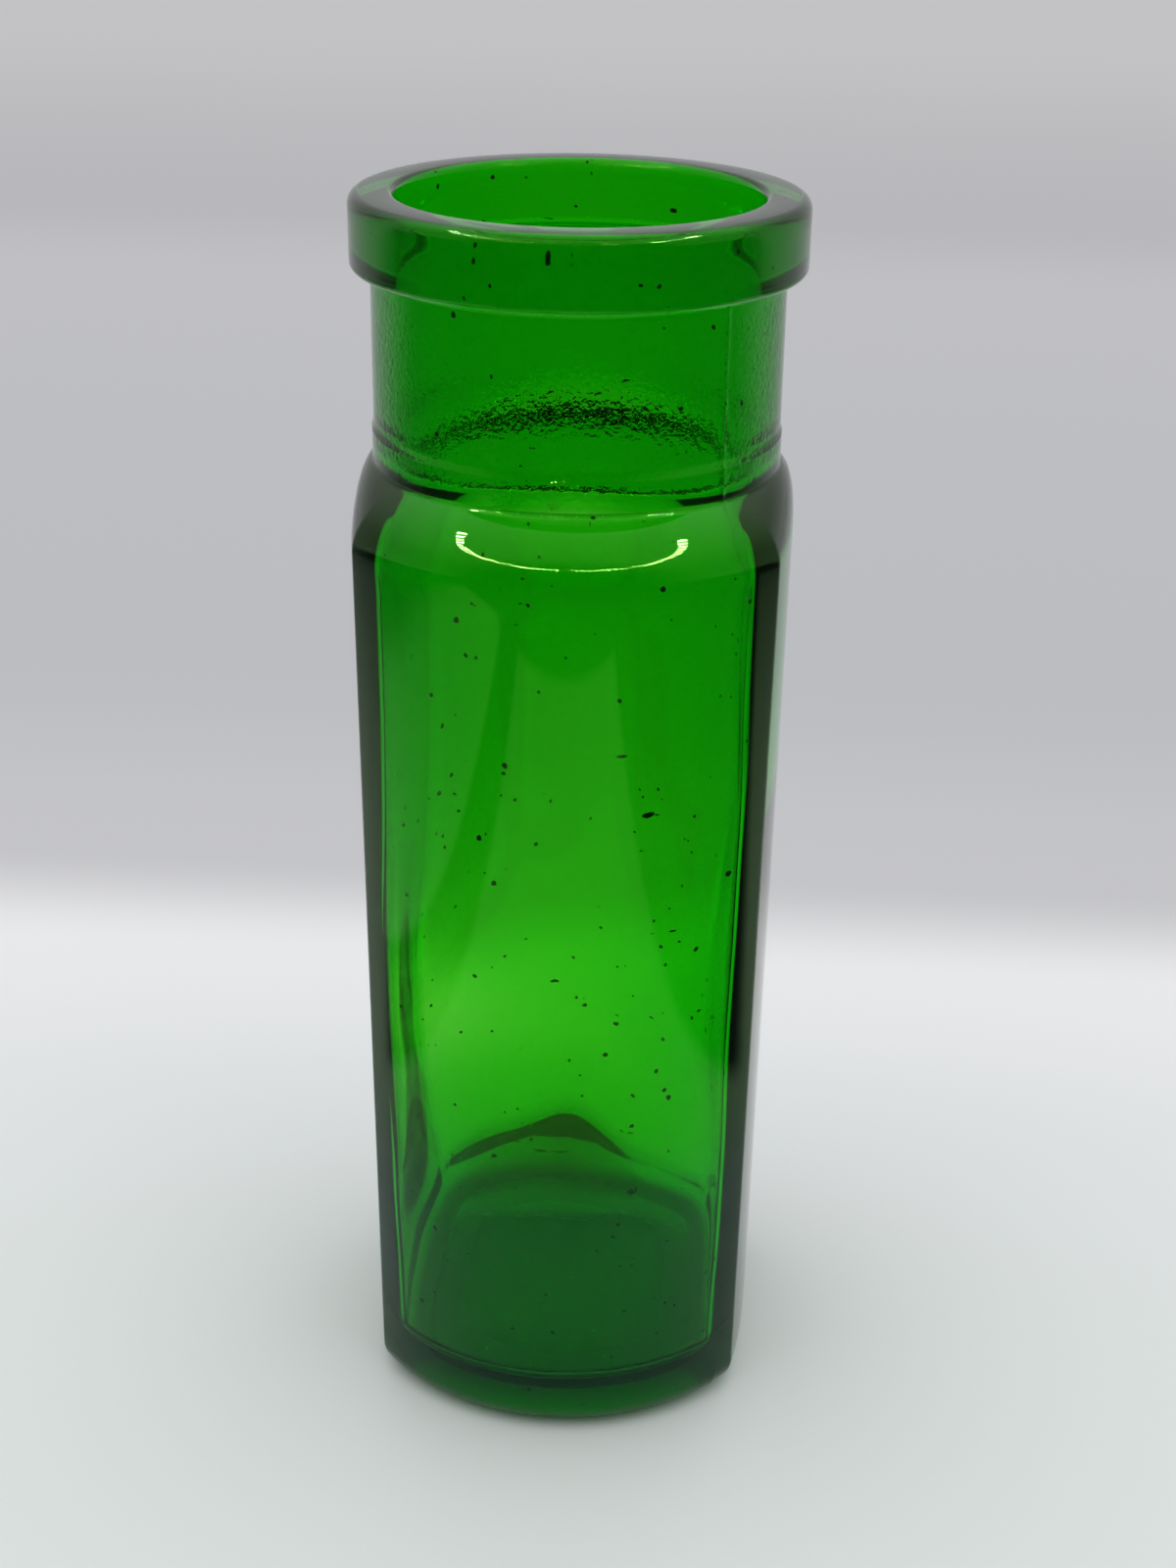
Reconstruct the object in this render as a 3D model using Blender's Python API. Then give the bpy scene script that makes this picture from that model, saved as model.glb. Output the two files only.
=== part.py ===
"""Wide-mouthed glass jar, moulded in one piece.

The origin is the middle of the standing face, +Z is up and the front panel faces -Y.
All lengths are in metres.
"""

import math
from dataclasses import dataclass

import bmesh
import bpy
from mathutils import Vector

# The whole jar
JAR_HEIGHT = 0.1635

# The lip, a flat ring round the mouth
LIP_RADIUS = 0.028
LIP_HEIGHT = 0.0090
LIP_OVERHANG = 0.0025
LIP_TOP_ROUND = 0.0014
LIP_UNDER_ROUND = 0.0009
MOUTH_ROUND = 0.0010

# The neck, round, from the lip's underside down to the crease at the shoulder
NECK_RADIUS = LIP_RADIUS - LIP_OVERHANG
NECK_WALL = 0.0032
NECK_HEIGHT = 0.0238
NECK_FILLET = 0.0008
NECK_BAND_HEIGHT = 0.0043
NECK_BAND_STEP = 0.0002
MOUTH_RADIUS = NECK_RADIUS - NECK_WALL

# The shoulder, which spreads from the round neck to the four panels
SHOULDER_DROP = 0.0075
SHOULDER_SLOPE = math.radians(30)
SHOULDER_WALL = 0.0030

# The body at its widest, just below the shoulder
FRONT_REACH = 0.0316
SIDE_REACH = 0.0277
FRONT_BOW = 0.0124
SIDE_BOW = 0.0019
CORNER_ROUND = 0.0015

# The body narrows a little on its way down
FOOT_DRAW_IN = 0.0011
HEEL_ROUND = 0.0040

# The glass and the hollow
FRONT_WALL = 0.0030
SIDE_WALL = 0.0040
INNER_CORNER_ROUND = 0.0040
BASE_THICKNESS = 0.0062
INNER_HEEL_ROUND = 0.0055

# The shallow hollow under the base, inside a narrow ring that the jar stands on
STANDING_WIDTH = 0.0030
PUSH_UP_HEIGHT = 0.0022

# Fineness of the faceted surface
PANEL_STEPS = 7
BODY_STEPS = 5
SHOULDER_STEPS = 8
HEEL_STEPS = 4
EDGE_STEPS = 3
PUSH_UP_STEPS = 6
PUSH_UP_POWER = 4
SPACING_POWER = 1.5
SHARP_ANGLE = math.radians(50)

# The finish
GLASS_COLOUR = (0.02, 0.36, 0.05, 1.0)
GLASS_ROUGHNESS = 0.05
GLASS_IOR = 1.5


@dataclass(frozen=True)
class Plan:
    """A four-sided outline with bowed sides and rounded corners, seen from above."""

    front_centre: Vector
    front_radius: float
    side_centre: Vector
    side_radius: float
    corner_round: float

    def drawn_in(self, front_inset, side_inset, corner_round):
        """Return the outline that lies one inset inside the front and another inside the sides."""
        return Plan(
            self.front_centre,
            self.front_radius - front_inset,
            self.side_centre,
            self.side_radius - side_inset,
            corner_round,
        )

    def corner(self, corner_round):
        """Return the centre of a round that touches the front and the side."""
        near_front = self.front_radius - corner_round
        near_side = self.side_radius - corner_round
        between = self.side_centre - self.front_centre
        along = (near_front ** 2 - near_side ** 2 + between.length_squared) / (2 * between.length)
        across = math.sqrt(near_front ** 2 - along ** 2)
        forward = between.normalized()
        sideways = Vector((forward.y, -forward.x))
        return self.front_centre + forward * along + sideways * across

    def reach(self, direction):
        """Return the distance from the axis to the outline, along a unit direction."""
        quarter = Vector((abs(direction.x), abs(direction.y)))
        corner = self.corner(self.corner_round)
        to_front = (corner - self.front_centre).normalized()
        to_side = (corner - self.side_centre).normalized()
        front_end = self.front_centre + to_front * self.front_radius
        side_end = self.side_centre + to_side * self.side_radius
        if heading(quarter) >= heading(front_end):
            return reach_to_circle(quarter, self.front_centre, self.front_radius)
        if heading(quarter) <= heading(side_end):
            return reach_to_circle(quarter, self.side_centre, self.side_radius)
        return reach_to_circle(quarter, corner, self.corner_round)


def arc_radius(half_width, bow):
    """Return the radius of an arc from its half width and its height."""
    return (half_width ** 2 + bow ** 2) / (2 * bow)


def heading(point):
    """Return the angle of a point round the axis, from +X towards +Y."""
    return math.atan2(point.y, point.x)


def reach_to_circle(direction, centre, radius):
    """Return how far a ray from the axis runs before it leaves a circle."""
    toward = direction.dot(centre)
    return toward + math.sqrt(toward ** 2 - centre.length_squared + radius ** 2)


def ring_directions(plan):
    """Return the unit directions of a ring's points, closer together at the corners."""
    corner_angle = heading(plan.corner(0))
    spread = [(step / PANEL_STEPS) ** SPACING_POWER for step in range(PANEL_STEPS + 1)]
    quarter_turn = math.pi / 2
    to_side = [corner_angle * (1 - share) for share in reversed(spread)]
    to_front = [corner_angle + (quarter_turn - corner_angle) * share for share in spread[1:]]
    first = to_side + to_front
    second = [math.pi - angle for angle in reversed(first)]
    half = first + second[1:]
    angles = half + [angle + math.pi for angle in half[1:-1]]
    return [Vector((math.cos(angle), math.sin(angle))) for angle in angles]


def round_ring(directions, radius, height):
    """Return the points of a level with a round outline."""
    return [Vector((d.x * radius, d.y * radius, height)) for d in directions]


def plan_ring(directions, plan, height):
    """Return the points of a level with the body's outline."""
    points = []
    for direction in directions:
        reach = plan.reach(direction)
        points.append(Vector((direction.x * reach, direction.y * reach, height)))
    return points


def shoulder_rings(directions, radius, plan, top):
    """Return the rings from a round neck out and down to the body's outline.

    In each direction the shoulder leaves the neck at the slope and curves until it is upright.
    """
    rings = []
    for step in range(SHOULDER_STEPS + 1):
        share = step / SHOULDER_STEPS
        ring = []
        for direction in directions:
            run = plan.reach(direction) - radius
            reach = radius + run * (1 - (1 - share) ** 2)
            eased = 2 * share * (1 - share) * run * math.tan(SHOULDER_SLOPE)
            height = top - eased - SHOULDER_DROP * share ** 2
            ring.append(Vector((direction.x * reach, direction.y * reach, height)))
        rings.append(ring)
    return rings


def quarter_round(steps):
    """Yield the sine and the cosine along a quarter turn, both ends included."""
    for step in range(steps + 1):
        angle = math.pi / 2 * step / steps
        yield math.sin(angle), math.cos(angle)


def body_plan():
    """Return the body's outline at its widest."""
    corner = Vector((SIDE_REACH - SIDE_BOW, FRONT_REACH - FRONT_BOW))
    front_radius = arc_radius(corner.x, FRONT_BOW)
    side_radius = arc_radius(corner.y, SIDE_BOW)
    front_centre = Vector((0, FRONT_REACH - front_radius))
    side_centre = Vector((SIDE_REACH - side_radius, 0))
    return Plan(front_centre, front_radius, side_centre, side_radius, CORNER_ROUND)


def crease_height():
    """Return the height of the crease between the neck and the shoulder."""
    return JAR_HEIGHT - LIP_HEIGHT - NECK_HEIGHT


def body_top():
    """Return the height at which the shoulder passes into the panels."""
    return crease_height() - SHOULDER_DROP


def draw_in_at(height):
    """Return how far the body has narrowed at a height."""
    return FOOT_DRAW_IN * (body_top() - height) / body_top()


def push_up_rings(directions):
    """Return the levels of the hollow under the base, from its middle outward.

    It follows the body's outline and is steepest at its edge, next to the standing ring.
    """
    inset = FOOT_DRAW_IN + HEEL_ROUND + STANDING_WIDTH
    edge = plan_ring(directions, body_plan().drawn_in(inset, inset, CORNER_ROUND), 0)
    rings = []
    for step in range(1, PUSH_UP_STEPS + 1):
        share = 1 - (1 - step / PUSH_UP_STEPS) ** 2
        height = PUSH_UP_HEIGHT * (1 - share ** PUSH_UP_POWER)
        rings.append([Vector((point.x * share, point.y * share, height)) for point in edge])
    return rings


def outer_body_rings(directions):
    """Return the levels from the standing face up to the top of the panels."""
    rings = []
    for sine, cosine in quarter_round(HEEL_STEPS):
        height = HEEL_ROUND * (1 - cosine)
        inset = HEEL_ROUND * (1 - sine) + draw_in_at(height)
        plan = body_plan().drawn_in(inset, inset, CORNER_ROUND)
        rings.append(plan_ring(directions, plan, height))
    for step in range(1, BODY_STEPS + 1):
        height = HEEL_ROUND + (body_top() - HEEL_ROUND) * step / BODY_STEPS
        inset = draw_in_at(height)
        plan = body_plan().drawn_in(inset, inset, CORNER_ROUND)
        rings.append(plan_ring(directions, plan, height))
    return rings


def outer_shoulder_rings(directions):
    """Return the levels from above the panels in to the crease at the neck."""
    rings = shoulder_rings(directions, NECK_RADIUS + NECK_BAND_STEP, body_plan(), crease_height())
    return rings[-2::-1]


def neck_and_lip_rings(directions):
    """Return the levels from the neck's lower band up over the lip to the mouth."""
    band_top = crease_height() + NECK_BAND_HEIGHT
    under_lip = JAR_HEIGHT - LIP_HEIGHT
    rings = [
        round_ring(directions, NECK_RADIUS + NECK_BAND_STEP, band_top - NECK_BAND_STEP),
        round_ring(directions, NECK_RADIUS, band_top),
    ]
    for sine, cosine in quarter_round(EDGE_STEPS):
        radius = NECK_RADIUS + NECK_FILLET * (1 - cosine)
        rings.append(round_ring(directions, radius, under_lip - NECK_FILLET * (1 - sine)))
    for sine, cosine in quarter_round(EDGE_STEPS):
        radius = LIP_RADIUS - LIP_UNDER_ROUND * (1 - sine)
        rings.append(round_ring(directions, radius, under_lip + LIP_UNDER_ROUND * (1 - cosine)))
    for sine, cosine in quarter_round(EDGE_STEPS):
        radius = LIP_RADIUS - LIP_TOP_ROUND * (1 - cosine)
        rings.append(round_ring(directions, radius, JAR_HEIGHT - LIP_TOP_ROUND * (1 - sine)))
    for sine, cosine in quarter_round(EDGE_STEPS):
        radius = MOUTH_RADIUS + MOUTH_ROUND * (1 - sine)
        rings.append(round_ring(directions, radius, JAR_HEIGHT - MOUTH_ROUND * (1 - cosine)))
    return rings


def inner_rings(directions):
    """Return the levels of the hollow, from the foot of the bore down to the floor."""
    rings = []
    hollow = body_plan().drawn_in(FRONT_WALL, SIDE_WALL, INNER_CORNER_ROUND)
    bore_foot = crease_height() - SHOULDER_WALL
    rings += shoulder_rings(directions, MOUTH_RADIUS, hollow, bore_foot)
    hollow_top = bore_foot - SHOULDER_DROP
    hollow_foot = BASE_THICKNESS + INNER_HEEL_ROUND
    for step in range(1, BODY_STEPS + 1):
        height = hollow_top + (hollow_foot - hollow_top) * step / BODY_STEPS
        inset = draw_in_at(height)
        plan = hollow.drawn_in(inset, inset, INNER_CORNER_ROUND)
        rings.append(plan_ring(directions, plan, height))
    for sine, cosine in list(quarter_round(HEEL_STEPS))[1:]:
        height = hollow_foot - INNER_HEEL_ROUND * sine
        inset = draw_in_at(height) + INNER_HEEL_ROUND * (1 - cosine)
        plan = hollow.drawn_in(inset, inset, INNER_CORNER_ROUND)
        rings.append(plan_ring(directions, plan, height))
    return rings


def loft(name, rings, first_middle, last_middle):
    """Skin a closed body over the rings, with a point in the middle at each end."""
    mesh = bpy.data.meshes.new(name)
    shape = bmesh.new()
    levels = []
    for ring in rings:
        levels.append([shape.verts.new(point) for point in ring])
    count = len(rings[0])
    for lower, upper in zip(levels, levels[1:]):
        for index in range(count):
            after = (index + 1) % count
            shape.faces.new((lower[index], lower[after], upper[after], upper[index]))
    first = shape.verts.new((0, 0, first_middle))
    last = shape.verts.new((0, 0, last_middle))
    for index in range(count):
        after = (index + 1) % count
        shape.faces.new((first, levels[0][after], levels[0][index]))
        shape.faces.new((last, levels[-1][index], levels[-1][after]))
    bmesh.ops.recalc_face_normals(shape, faces=shape.faces)
    shape.to_mesh(mesh)
    shape.free()
    mesh.shade_smooth()
    mesh.set_sharp_from_angle(angle=SHARP_ANGLE)
    return mesh


def glass_material():
    """Return the clear green glass."""
    material = bpy.data.materials.new("green_glass")
    material.use_nodes = True
    shader = material.node_tree.nodes["Principled BSDF"]
    shader.inputs["Base Color"].default_value = GLASS_COLOUR
    shader.inputs["Roughness"].default_value = GLASS_ROUGHNESS
    shader.inputs["Metallic"].default_value = 0
    shader.inputs["IOR"].default_value = GLASS_IOR
    shader.inputs["Transmission Weight"].default_value = 1
    material.diffuse_color = GLASS_COLOUR
    return material


def build_jar():
    """Model the jar: one closed skin that runs over the outside and down the inside."""
    directions = ring_directions(body_plan())
    rings = push_up_rings(directions)
    rings += outer_body_rings(directions)
    rings += outer_shoulder_rings(directions)
    rings += neck_and_lip_rings(directions)
    rings += inner_rings(directions)
    mesh = loft("glass_jar", rings, PUSH_UP_HEIGHT, BASE_THICKNESS)
    mesh.materials.append(glass_material())
    jar = bpy.data.objects.new("glass_jar", mesh)
    bpy.context.collection.objects.link(jar)
    return jar


def main():
    """Clear the scene and model the jar."""
    for thing in list(bpy.data.objects):
        bpy.data.objects.remove(thing, do_unlink=True)
    build_jar()


main()
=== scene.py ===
"""A wide-mouthed jar of green moulded glass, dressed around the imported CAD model.

Lengths are in metres. The standing face is at z = 0, +Z is up and the front panel faces -Y.
"""

import logging
import math
from dataclasses import dataclass, field
from enum import Enum
from typing import Sequence

import bmesh
import bpy
from mathutils import Matrix, Vector


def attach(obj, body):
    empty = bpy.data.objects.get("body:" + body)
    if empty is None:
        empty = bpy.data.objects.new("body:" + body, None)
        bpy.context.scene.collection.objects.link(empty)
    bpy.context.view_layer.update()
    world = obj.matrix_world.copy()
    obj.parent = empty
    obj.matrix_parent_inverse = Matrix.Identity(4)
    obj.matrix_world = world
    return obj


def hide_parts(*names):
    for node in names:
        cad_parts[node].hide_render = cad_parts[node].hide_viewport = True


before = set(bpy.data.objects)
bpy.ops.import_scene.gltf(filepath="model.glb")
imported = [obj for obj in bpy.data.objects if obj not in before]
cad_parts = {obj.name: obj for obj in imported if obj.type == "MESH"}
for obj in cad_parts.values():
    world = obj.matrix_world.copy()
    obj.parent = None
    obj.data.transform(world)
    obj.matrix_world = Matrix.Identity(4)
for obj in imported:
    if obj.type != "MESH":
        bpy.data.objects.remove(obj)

LOG = logging.getLogger("jar")
CAD_NODE = "glass_jar"
GLASS_SLOT = "green_glass"
ROOT_BODY = "root"
FULL_TURN = 2 * math.pi
QUARTER_TURN = math.pi / 2
SAME_PLACE = 1e-6
ON_AXIS = 1e-9
# The places of the colours among a Mix node's sockets
MIX_FIRST, MIX_SECOND, MIX_RESULT = 6, 7, 2

Colour = tuple[float, float, float, float]


class Part(Enum):
    """The stretches of the jar's skin, in the order in which the profile runs."""

    PUSH_UP = "push_up"
    HEEL = "heel"
    PANELS = "panels"
    SHOULDER = "shoulder"
    NECK = "neck"
    LIP = "lip"
    BORE = "bore"
    INNER_SHOULDER = "inner_shoulder"
    HOLLOW = "hollow"
    INNER_HEEL = "inner_heel"
    INNER_FLOOR = "inner_floor"


def heading(point: Vector) -> float:
    """Return the angle of a point round the axis, from +X towards +Y."""
    return math.atan2(point.y, point.x)


def eased(share: float) -> float:
    """Return a share from 0 to 1 with a soft start and a soft end."""
    held = min(max(share, 0.0), 1.0)
    return held * held * (3 - 2 * held)


@dataclass(frozen=True)
class Plan:
    """A four-sided outline with bowed sides and rounded corners, seen from above."""

    front_centre: Vector
    front_radius: float
    side_centre: Vector
    side_radius: float
    corner_round: float

    def drawn_in(self, front_inset: float, side_inset: float, corner_round: float) -> "Plan":
        """Return an outline that lies inside this one.

        Args:
            front_inset: how far the front and the back move in.
            side_inset: how far the two sides move in.
            corner_round: the radius of the new corners.

        Returns:
            The smaller outline.
        """
        return Plan(
            self.front_centre,
            self.front_radius - front_inset,
            self.side_centre,
            self.side_radius - side_inset,
            corner_round,
        )

    def corner(self, corner_round: float) -> Vector:
        """Return the centre of a round that touches the front and the side.

        Args:
            corner_round: the radius of that round.

        Returns:
            Its centre, in the quarter of +X and +Y.
        """
        near_front = self.front_radius - corner_round
        near_side = self.side_radius - corner_round
        between = self.side_centre - self.front_centre
        along = (near_front ** 2 - near_side ** 2 + between.length_squared) / (2 * between.length)
        across = math.sqrt(near_front ** 2 - along ** 2)
        forward = between.normalized()
        sideways = Vector((forward.y, -forward.x))
        return self.front_centre + forward * along + sideways * across

    def reach(self, direction: Vector) -> float:
        """Return the distance from the axis to the outline.

        Args:
            direction: a unit direction seen from above.

        Returns:
            The distance along it.
        """
        quarter = Vector((abs(direction.x), abs(direction.y)))
        corner = self.corner(self.corner_round)
        to_front = (corner - self.front_centre).normalized()
        to_side = (corner - self.side_centre).normalized()
        front_end = self.front_centre + to_front * self.front_radius
        side_end = self.side_centre + to_side * self.side_radius
        if heading(quarter) >= heading(front_end):
            return self.leave_circle(quarter, self.front_centre, self.front_radius)
        if heading(quarter) <= heading(side_end):
            return self.leave_circle(quarter, self.side_centre, self.side_radius)
        return self.leave_circle(quarter, corner, self.corner_round)

    @staticmethod
    def leave_circle(direction: Vector, centre: Vector, radius: float) -> float:
        """Return how far a ray from the axis runs before it leaves a circle.

        Args:
            direction: the ray's unit direction.
            centre: the middle of the circle.
            radius: its radius.

        Returns:
            The distance.
        """
        toward = direction.dot(centre)
        return toward + math.sqrt(toward ** 2 - centre.length_squared + radius ** 2)


@dataclass(frozen=True)
class FootShift:
    """How far the foot of the bore lies above or below its level, in each direction.

    The powers gather the shift in the panels' middles, and the fade ends it down the shoulder.
    """

    front: float = 0.0
    back: float = 0.0
    side: float = 0.0
    front_power: float = 4.0
    back_power: float = 1.0
    fade_power: int = 4

    def lift(self, direction: Vector) -> float:
        """Return the lift of the bore's foot.

        Args:
            direction: a unit direction seen from above.

        Returns:
            The lift.
        """
        if direction.y > 0:
            share, panel = direction.y ** self.back_power, self.back
        else:
            share, panel = (-direction.y) ** self.front_power, self.front
        return panel * share + self.side * (1 - share)


@dataclass(frozen=True)
class RoundLevel:
    """A level of the skin with a round outline."""

    part: Part
    radius: float
    height: float
    shift: FootShift = FootShift()
    shift_share: float = 0.0

    def point(self, direction: Vector) -> Vector:
        """Return the level's point in a direction."""
        height = self.height + self.shift.lift(direction) * self.shift_share
        return Vector((direction.x * self.radius, direction.y * self.radius, height))


@dataclass(frozen=True)
class PlanLevel:
    """A level of the skin with the four-sided outline."""

    part: Part
    plan: Plan
    height: float

    def point(self, direction: Vector) -> Vector:
        """Return the level's point in a direction."""
        reach = self.plan.reach(direction)
        return Vector((direction.x * reach, direction.y * reach, self.height))


@dataclass(frozen=True)
class ShoulderLevel:
    """A level of a shoulder, which spreads from a round foot of the neck to the panels."""

    part: Part
    radius: float
    plan: Plan
    top: float
    drop: float
    slope: float
    share: float
    shift: FootShift = FootShift()

    def point(self, direction: Vector) -> Vector:
        """Return the level's point in a direction.

        Args:
            direction: a unit direction seen from above.

        Returns:
            The point, on a curve that leaves the neck at the shoulder's slope and ends upright.
        """
        run = self.plan.reach(direction) - self.radius
        reach = self.radius + run * (1 - (1 - self.share) ** 2)
        fall = 2 * self.share * (1 - self.share) * run * math.tan(self.slope)
        height = self.top - fall - self.drop * self.share ** 2
        height += self.shift.lift(direction) * (1 - self.share) ** self.shift.fade_power
        return Vector((direction.x * reach, direction.y * reach, height))


@dataclass(frozen=True)
class ScaledLevel:
    """A level of the base or of the hollow's floor, a smaller copy of an outline."""

    part: Part
    plan: Plan
    height: float
    share: float

    def point(self, direction: Vector) -> Vector:
        """Return the level's point in a direction."""
        reach = self.plan.reach(direction) * self.share
        return Vector((direction.x * reach, direction.y * reach, self.height))


Level = RoundLevel | PlanLevel | ShoulderLevel | ScaledLevel


@dataclass(frozen=True)
class Swell:
    """A soft patch of the hollow where the wall is thicker, or thinner, than the rest."""

    turn: float
    turn_spread: float
    height: float
    height_spread: float
    thicker: float

    def inward(self, point: Vector) -> float:
        """Return how far the patch moves a point of the hollow towards the axis.

        Args:
            point: the point.

        Returns:
            The distance, below zero for a thinner wall.
        """
        turned = math.remainder(heading(point.xy) - math.radians(self.turn), FULL_TURN)
        across = turned / math.radians(self.turn_spread)
        along = (point.z - self.height) / self.height_spread
        return self.thicker * math.exp(-across * across - along * along)


@dataclass(frozen=True)
class Heap:
    """A stretch of the hollow's heel where more glass has settled."""

    turn: float
    turn_spread: float
    rise: float

    def lift(self, point: Vector) -> float:
        """Return how far the heap lifts a point of the heel.

        Args:
            point: the point.

        Returns:
            The lift, below zero for a dip.
        """
        turned = math.remainder(heading(point.xy) - math.radians(self.turn), FULL_TURN)
        across = turned / math.radians(self.turn_spread)
        return self.rise * math.exp(-across * across)


@dataclass(frozen=True)
class SpeckSpread:
    """How one kind of speck is strewn: cells per metre both ways, tilt, share of cells and size."""

    along: float
    across: float
    tilt: float
    share: float
    size: float


@dataclass(frozen=True)
class GlassFinish:
    """Clear green glass: what it absorbs on the way through, and how its skin is marked.

    The gleam colours tint what the skin reflects: on the whole skin, near the foot and on the
    hollow's floor.
    """

    name: str = GLASS_SLOT
    tint: Colour = (0.66, 0.90, 0.56, 1.0)
    gleam: Colour = (0.27, 1.0, 0.10, 1.0)
    low_gleam: Colour = (0.22, 0.80, 0.42, 1.0)
    low_start: float = 0.052
    low_end: float = 0.032
    floor_gleam: Colour = (0.35, 0.45, 0.45, 1.0)
    floor_fade: float = 6.0
    refraction: float = 1.5
    kept_light: Colour = (0.30, 0.914, 0.0, 1.0)
    density: float = 1100.0
    speck_colour: Colour = (0.004, 0.010, 0.004, 1.0)
    speck_jitter: float = 0.0006
    speck_jitter_scale: float = 900.0
    speck_spreads: tuple[SpeckSpread, ...] = (
        SpeckSpread(330, 330, 0.3, 0.40, 0.13),
        SpeckSpread(130, 260, 0.5, 0.10, 0.12),
        SpeckSpread(30, 700, -0.10, 0.05, 0.14),
        SpeckSpread(40, 800, 0.22, 0.04, 0.12),
    )
    rough_foot: float = 0.0020
    foot_roughness: float = 0.45
    peel_scale: float = 1400.0
    peel_detail: float = 2.0
    peel_depth: float = 0.00006
    peel_fade: float = 0.003

    def material(self, neck_foot: float, neck_top: float, floor_level: int) -> bpy.types.Material:
        """Make the glass.

        Args:
            neck_foot: where the rough band of the neck starts.
            neck_top: where it ends.
            floor_level: the number of the level at which the hollow's floor starts.

        Returns:
            The material.
        """
        material = bpy.data.materials.new(self.name)
        material.use_nodes = True
        tree = NodeTree(material.node_tree)
        shader = tree.node("ShaderNodeBsdfPrincipled")
        # Linked inputs keep a plain value too, for readers that don't follow the nodes
        shader.inputs["Base Color"].default_value = self.tint
        shader.inputs["Roughness"].default_value = 0.0
        shader.inputs["IOR"].default_value = self.refraction
        shader.inputs["Transmission Weight"].default_value = 1.0
        place = tree.node("ShaderNodeTexCoord")
        split = tree.node("ShaderNodeSeparateXYZ")
        tree.join(place.outputs["Object"], split.inputs[0])
        level = tree.node("ShaderNodeAttribute")
        level.attribute_name = "level"
        inside = tree.ramp(level.outputs["Fac"], floor_level - self.floor_fade, floor_level)
        low = tree.ramp(split.outputs["Z"], self.low_end, self.low_start, 1.0, 0.0)
        gleam = tree.mix(inside, tree.mix(low, self.gleam, self.low_gleam), self.floor_gleam)
        tree.join(gleam, shader.inputs["Specular Tint"])
        peel_mask = tree.window(split.outputs["Z"], neck_foot, neck_top, self.peel_fade)
        tree.join(self.peel(tree, place.outputs["Object"], peel_mask), shader.inputs["Normal"])
        dirt = self.specks(tree, place.outputs["Object"])
        clear = tree.sum_of("SUBTRACT", 1.0, dirt)
        tree.join(clear, shader.inputs["Transmission Weight"])
        tree.join(tree.mix(dirt, self.tint, self.speck_colour), shader.inputs["Base Color"])
        rough = tree.ramp(
            split.outputs["Z"], self.rough_foot, self.rough_foot / 2, 0.0, self.foot_roughness
        )
        tree.join(rough, shader.inputs["Roughness"])
        absorb = tree.node("ShaderNodeVolumeAbsorption")
        absorb.inputs["Color"].default_value = self.kept_light
        absorb.inputs["Density"].default_value = self.density
        output = tree.node("ShaderNodeOutputMaterial")
        tree.join(shader.outputs[0], output.inputs["Surface"])
        tree.join(absorb.outputs[0], output.inputs["Volume"])
        return material

    def peel(
        self, tree: "NodeTree", place: bpy.types.NodeSocket, mask: bpy.types.NodeSocket
    ) -> bpy.types.NodeSocket:
        """Add the fine uneven skin that the mould leaves.

        Args:
            tree: the material's nodes.
            place: the place on the skin.
            mask: where the skin is uneven.

        Returns:
            The skin's direction.
        """
        grain = tree.node("ShaderNodeTexNoise")
        grain.inputs["Scale"].default_value = self.peel_scale
        grain.inputs["Detail"].default_value = self.peel_detail
        tree.join(place, grain.inputs["Vector"])
        bump = tree.node("ShaderNodeBump")
        bump.inputs["Distance"].default_value = self.peel_depth
        bump.inputs["Strength"].default_value = 1.0
        tree.join(tree.sum_of("MULTIPLY", grain.outputs["Fac"], mask), bump.inputs["Height"])
        return bump.outputs["Normal"]

    def specks(self, tree: "NodeTree", place: bpy.types.NodeSocket) -> bpy.types.NodeSocket:
        """Add a mask of small dark specks and short scratches.

        Args:
            tree: the material's nodes.
            place: the place on the skin.

        Returns:
            The mask, 1 in a speck.
        """
        jitter = tree.node("ShaderNodeTexNoise")
        jitter.inputs["Scale"].default_value = self.speck_jitter_scale
        tree.join(place, jitter.inputs["Vector"])
        shaken = tree.node("ShaderNodeVectorMath")
        shaken.operation = "MULTIPLY_ADD"
        tree.join(jitter.outputs["Color"], shaken.inputs[0])
        shaken.inputs[1].default_value = (self.speck_jitter,) * 3
        tree.join(place, shaken.inputs[2])
        total: "float | bpy.types.NodeSocket" = 0.0
        for spread in self.speck_spreads:
            scaled = tree.node("ShaderNodeMapping")
            scaled.inputs["Rotation"].default_value = (0, spread.tilt, 0)
            scaled.inputs["Scale"].default_value = (spread.along, spread.across, spread.across)
            tree.join(shaken.outputs[0], scaled.inputs["Vector"])
            cells = tree.node("ShaderNodeTexVoronoi")
            cells.inputs["Scale"].default_value = 1.0
            tree.join(scaled.outputs[0], cells.inputs["Vector"])
            colour = tree.node("ShaderNodeSeparateColor")
            tree.join(cells.outputs["Color"], colour.inputs[0])
            rare = tree.sum_of("SUBTRACT", colour.outputs[0], 1 - spread.share)
            size = tree.sum_of("MULTIPLY", rare, spread.size / spread.share)
            inside = tree.sum_of("LESS_THAN", cells.outputs["Distance"], size)
            total = tree.sum_of("MAXIMUM", total, inside)
        return total


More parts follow.
